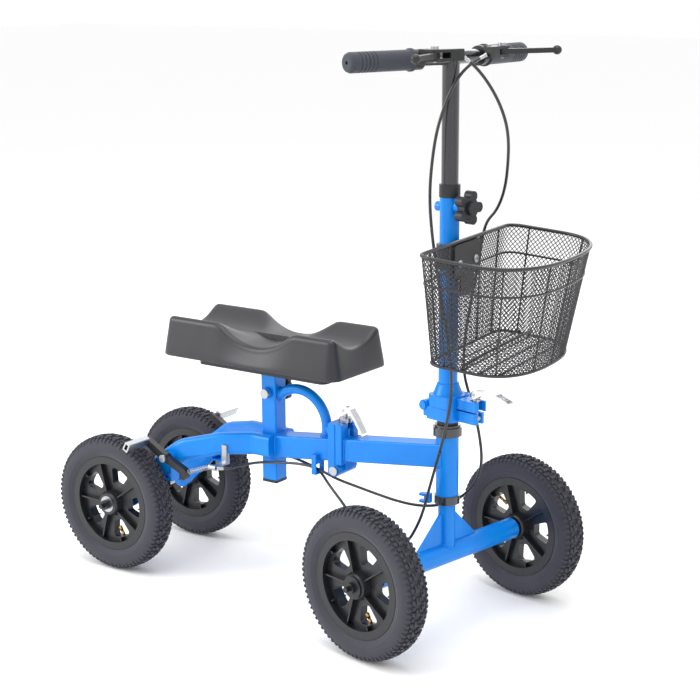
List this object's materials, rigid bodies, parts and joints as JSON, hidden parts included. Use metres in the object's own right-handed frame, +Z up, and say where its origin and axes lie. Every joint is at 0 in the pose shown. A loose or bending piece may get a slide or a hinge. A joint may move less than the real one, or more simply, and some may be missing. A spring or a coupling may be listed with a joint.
{
  "type": "knee scooter",
  "caption": "Folding steerable knee walker with pneumatic-style wheels, padded knee rest, hand brakes and a front wire basket.",
  "frame": {"origin": "on the ground in the middle of the footprint, below the centre of the bounding box", "axes": "+X is the direction of travel, +Y the rider's left, +Z up"},
  "size_m": [0.9964, 0.4804, 0.972],
  "materials": {
    "blue_paint": "gloss azure powder coat",
    "black_paint": "satin black coat",
    "tyre": "moulded rubber",
    "rim": "black nylon",
    "steel": "zinc plated",
    "chrome": "polished",
    "aluminium": "extruded, brushed",
    "plastic": "black",
    "grip": "matt grip",
    "pad": "moulded polyurethane",
    "cable": "smooth housing",
    "wire_mesh": "black vinyl dipped"
  },
  "bodies": {
    "rear_frame": {"seat_post_outer": "blue_paint", "post_cap": "plastic", "main_tube_rear": "blue_paint", "arc_brace": "blue_paint", "rear_arms": "blue_paint", "rear_brackets": "blue_paint", "rear_bolts": "steel", "cable_stops": "steel", "hinge_rear_half": "blue_paint", "hinge_pin": "steel", "rear_axles": "black_paint", "rear_bearings": "steel", "seat_clamp_bolt": "steel", "latch_bolt": "steel", "brake_springs": "steel", "brake_cable_right": "cable", "brake_cable_left": "cable"},
    "seat": {"seat_post_inner": "black_paint", "seat_board": "plastic", "seat_pad": "pad"},
    "seat_knob": {"seat_knob": "plastic"},
    "brake_arm_right": {"brake_arm_right": "black_paint", "scraper_right": "aluminium"},
    "brake_arm_left": {"brake_arm_left": "black_paint", "scraper_left": "aluminium"},
    "wheel_rear_right": {"rear_right_tyre": "tyre", "rear_right_rim": "rim"},
    "wheel_rear_left": {"rear_left_tyre": "tyre", "rear_left_rim": "rim"},
    "latch_lever": {"latch_lever": "chrome"},
    "front_frame": {"hinge_front_half": "blue_paint", "main_tube_front": "blue_paint", "head_tube": "blue_paint", "headset_cups": "black_paint", "cable_tabs": "blue_paint"},
    "fork": {"fork": "blue_paint", "column_spacer": "plastic", "collar_lower_half": "blue_paint", "collar_pins": "blue_paint", "front_axles": "black_paint", "hub_caps": "plastic"},
    "wheel_front_right": {"front_right_tyre": "tyre", "front_right_rim": "rim"},
    "wheel_front_left": {"front_left_tyre": "tyre", "front_left_rim": "rim"},
    "column_bolt": {"column_bolt": "steel"},
    "column_lever": {"column_lever": "chrome"},
    "column": {"collar_upper_half": "blue_paint", "column_tube": "blue_paint", "column_sleeve": "plastic", "basket": "wire_mesh", "basket_clamp": "black_paint", "basket_plate": "black_paint"},
    "column_knob": {"column_knob": "plastic"},
    "handlebar": {"handlebar": "black_paint", "grips": "grip", "lever_brackets": "black_paint", "lever_bolts": "steel"},
    "brake_lever_right": {"brake_lever_right": "black_paint"},
    "brake_lever_left": {"brake_lever_left": "black_paint"}
  },
  "joints": [
    {"name": "frame_fold", "type": "hinge", "parent": "rear_frame", "child": "front_frame", "pos_m": [0.06478, 0, 0.24], "axis": [0, 1, 0], "range_deg": [0, 110], "deforming": ["brake_cable_right", "brake_cable_left"]},
    {"name": "latch_cam", "type": "hinge", "parent": "rear_frame", "child": "latch_lever", "pos_m": [0.07078, 0, 0.344], "axis": [0, 1, 0], "range_deg": [-95, 0]},
    {"name": "seat_height", "type": "slide", "parent": "rear_frame", "child": "seat", "axis": [0, 0, 1], "range_m": [0, 0.12]},
    {"name": "seat_knob_turn", "type": "hinge", "parent": "rear_frame", "child": "seat_knob", "pos_m": [-0.08622, 0.04, 0.355], "axis": [0, 1, 0], "continuous": true},
    {"name": "rear_right_spin", "type": "hinge", "parent": "rear_frame", "child": "wheel_rear_right", "pos_m": [-0.37122, -0.1138, 0.127], "axis": [0, 1, 0], "continuous": true},
    {"name": "rear_left_spin", "type": "hinge", "parent": "rear_frame", "child": "wheel_rear_left", "pos_m": [-0.37122, 0.1138, 0.127], "axis": [0, 1, 0], "continuous": true},
    {"name": "rear_brake_right", "type": "hinge", "parent": "rear_frame", "child": "brake_arm_right", "pos_m": [-0.26122, -0.095, 0.225], "axis": [0, 1, 0], "range_deg": [-6, 0], "deforming": ["brake_springs"]},
    {"name": "rear_brake_left", "type": "hinge", "parent": "rear_frame", "child": "brake_arm_left", "pos_m": [-0.26122, 0.095, 0.225], "axis": [0, 1, 0], "range_deg": [-6, 0], "deforming": ["brake_springs"]},
    {"name": "steering", "type": "hinge", "parent": "front_frame", "child": "fork", "pos_m": [0.27738, 0, 0.3], "axis": [0, 0, 1], "range_deg": [-30, 50], "deforming": ["brake_cable_right", "brake_cable_left"]},
    {"name": "front_right_spin", "type": "hinge", "parent": "fork", "child": "wheel_front_right", "pos_m": [0.24255, -0.19552, 0.127], "axis": [0.1754, 0.9845, 0], "continuous": true},
    {"name": "front_left_spin", "type": "hinge", "parent": "fork", "child": "wheel_front_left", "pos_m": [0.31221, 0.19552, 0.127], "axis": [0.1754, 0.9845, 0], "continuous": true},
    {"name": "column_fold", "type": "hinge", "parent": "fork", "child": "column", "pos_m": [0.24785, 0.00526, 0.3843], "axis": [0.1754, 0.9845, 0], "range_deg": [-55, 0], "deforming": ["brake_cable_right", "brake_cable_left"]},
    {"name": "column_bolt_swing", "type": "hinge", "parent": "fork", "child": "column_bolt", "pos_m": [0.33842, -0.01087, 0.374], "axis": [0.1754, 0.9845, 0], "range_deg": [0, 60]},
    {"name": "column_cam", "type": "hinge", "parent": "column_bolt", "child": "column_lever", "pos_m": [0.33842, -0.01087, 0.414], "axis": [0.1754, 0.9845, 0], "range_deg": [-60, 0]},
    {"name": "handlebar_height", "type": "slide", "parent": "column", "child": "handlebar", "axis": [0, 0, 1], "range_m": [-0.12, 0.02], "deforming": ["brake_cable_right", "brake_cable_left"]},
    {"name": "column_knob_turn", "type": "hinge", "parent": "column", "child": "column_knob", "pos_m": [0.31578, -0.00684, 0.716], "axis": [0.9845, -0.1754, 0], "continuous": true},
    {"name": "lever_right", "type": "hinge", "parent": "handlebar", "child": "brake_lever_right", "pos_m": [0.29995, -0.08426, 0.958], "axis": [0, 0, 1], "range_deg": [-25, 0], "stiffness_Nm_per_rad": 2, "springref_deg": 5},
    {"name": "lever_left", "type": "hinge", "parent": "handlebar", "child": "brake_lever_left", "pos_m": [0.32766, 0.07129, 0.958], "axis": [0, 0, 1], "range_deg": [0, 25], "stiffness_Nm_per_rad": 2, "springref_deg": -5}
  ],
  "couplings": [
    {"joint": "rear_brake_right", "follows": "lever_right", "ratio": 0.23},
    {"joint": "rear_brake_left", "follows": "lever_left", "ratio": -0.23}
  ]
}
